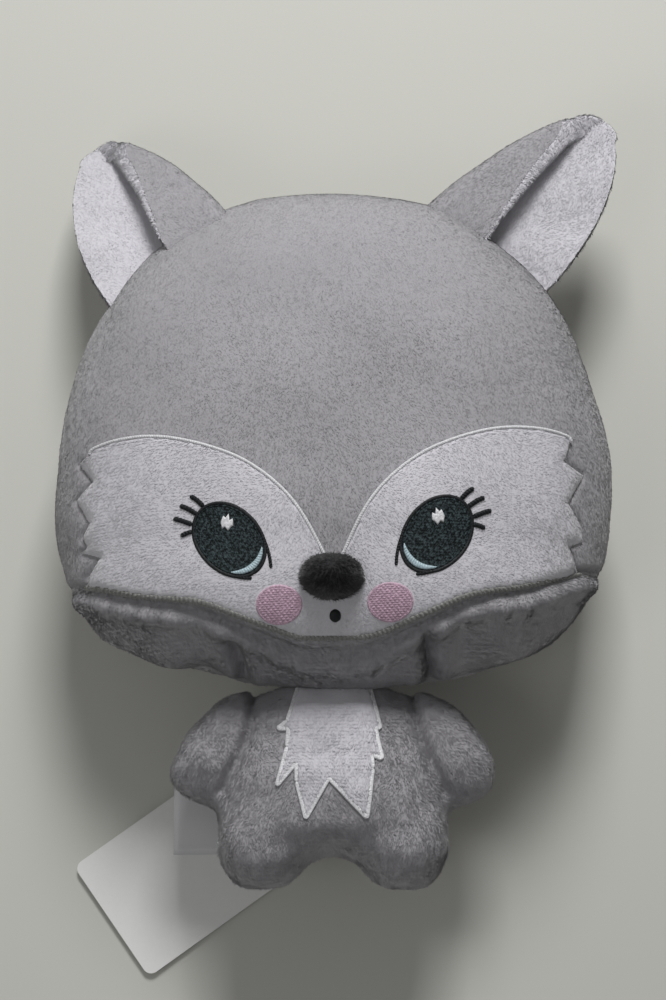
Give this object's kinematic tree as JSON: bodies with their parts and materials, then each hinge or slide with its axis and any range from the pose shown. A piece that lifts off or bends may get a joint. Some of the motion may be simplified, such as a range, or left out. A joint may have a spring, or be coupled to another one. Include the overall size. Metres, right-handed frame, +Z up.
{
  "type": "plush wolf",
  "caption": "Plush wolf lying on its back, with a large cushion head, embroidered face, folded ears, small body and stubby limbs that bend at their seams.",
  "frame": {"origin": "centre of the flat patch on the back of the head that the toy lies on", "axes": "+Z up out of the face, +Y from the feet to the crown of the head, +X to the right of the face as seen"},
  "size_m": [0.2198, 0.3366, 0.116],
  "materials": {
    "grey_plush": "short-pile velvety plush, cool grey",
    "white_plush": "short-pile plush, cool white",
    "fibre_fill": "loose polyester fibre",
    "white_thread": "glossy satin stitch",
    "grey_thread": "sewing thread in a drawn-in seam",
    "charcoal_thread": "filled embroidery, slate",
    "black_thread": "satin-stitch embroidery, black",
    "ice_thread": "satin-stitch embroidery, ice blue",
    "pink_thread": "filled embroidery, dusty pink",
    "black_plush": "short-pile plush, black",
    "label_satin": "woven satin ribbon, blank",
    "tag_card": "coated white card, blank",
    "fastener_nylon": "translucent nylon"
  },
  "bodies": {
    "head": {"head_front_panel": "grey_plush", "chin_gusset": "grey_plush", "head_back_panel": "grey_plush", "head_stuffing": "fibre_fill", "face_panel": "white_plush", "brow_stitch_left": "white_thread", "brow_stitch_right": "white_thread", "jaw_seam_thread": "grey_thread", "eye_left_outline": "black_thread", "eye_left_iris": "charcoal_thread", "eye_left_crescent": "ice_thread", "eye_left_glint": "white_thread", "eye_right_outline": "black_thread", "eye_right_iris": "charcoal_thread", "eye_right_crescent": "ice_thread", "eye_right_glint": "white_thread", "cheek_left": "pink_thread", "cheek_right": "pink_thread", "nose": "black_plush", "mouth_dot": "black_thread"},
    "torso": {"torso_front_panel": "grey_plush", "torso_back_panel": "grey_plush", "torso_stuffing": "fibre_fill", "bib": "white_plush", "bib_stitch": "white_thread", "care_label": "label_satin", "tag_fastener": "fastener_nylon"},
    "ear_left": {"ear_left_outer": "grey_plush", "ear_left_lining": "white_plush"},
    "ear_right": {"ear_right_outer": "grey_plush", "ear_right_lining": "white_plush"},
    "arm_left": {"arm_left_front_panel": "grey_plush", "arm_left_back_panel": "grey_plush", "arm_left_stuffing": "fibre_fill"},
    "arm_right": {"arm_right_front_panel": "grey_plush", "arm_right_back_panel": "grey_plush", "arm_right_stuffing": "fibre_fill"},
    "leg_left": {"leg_left_front_panel": "grey_plush", "leg_left_back_panel": "grey_plush", "leg_left_stuffing": "fibre_fill"},
    "leg_right": {"leg_right_front_panel": "grey_plush", "leg_right_back_panel": "grey_plush", "leg_right_stuffing": "fibre_fill"},
    "swing_tag": {"swing_tag": "tag_card"}
  },
  "joints": [
    {"name": "head_nod", "type": "hinge", "parent": "head", "child": "torso", "pos_m": [0, -0.073, 0.05], "axis": [1, 0, 0], "range_deg": [-8, 18], "stiffness_Nm_per_rad": 0.4},
    {"name": "ear_left_flop", "type": "hinge", "parent": "head", "child": "ear_left", "pos_m": [-0.06589, 0.10636, 0.05], "axis": [0.8572, 0.515, 0], "range_deg": [-20, 50], "stiffness_Nm_per_rad": 0.02},
    {"name": "ear_right_flop", "type": "hinge", "parent": "head", "child": "ear_right", "pos_m": [0.06065, 0.11022, 0.05], "axis": [0.8572, -0.515, 0], "range_deg": [-45, 25], "stiffness_Nm_per_rad": 0.02},
    {"name": "arm_left_swing", "type": "hinge", "parent": "torso", "child": "arm_left", "pos_m": [-0.03673, -0.09778, 0.05], "axis": [0.6561, 0.7547, 0], "range_deg": [-25, 40], "stiffness_Nm_per_rad": 0.02},
    {"name": "arm_right_swing", "type": "hinge", "parent": "torso", "child": "arm_right", "pos_m": [0.03673, -0.09778, 0.05], "axis": [0.6561, -0.7547, 0], "range_deg": [-25, 40], "stiffness_Nm_per_rad": 0.02},
    {"name": "leg_left_bend", "type": "hinge", "parent": "torso", "child": "leg_left", "pos_m": [-0.026, -0.1245, 0.05], "axis": [-1, 0, 0], "range_deg": [-15, 25], "stiffness_Nm_per_rad": 0.02},
    {"name": "leg_right_bend", "type": "hinge", "parent": "torso", "child": "leg_right", "pos_m": [0.026, -0.1245, 0.05], "axis": [-1, 0, 0], "range_deg": [-15, 25], "stiffness_Nm_per_rad": 0.02},
    {"name": "tag_swing", "type": "hinge", "parent": "torso", "child": "swing_tag", "pos_m": [-0.034, -0.1187, 0.002], "axis": [0, 0, 1], "range_deg": [-30, 30]}
  ]
}
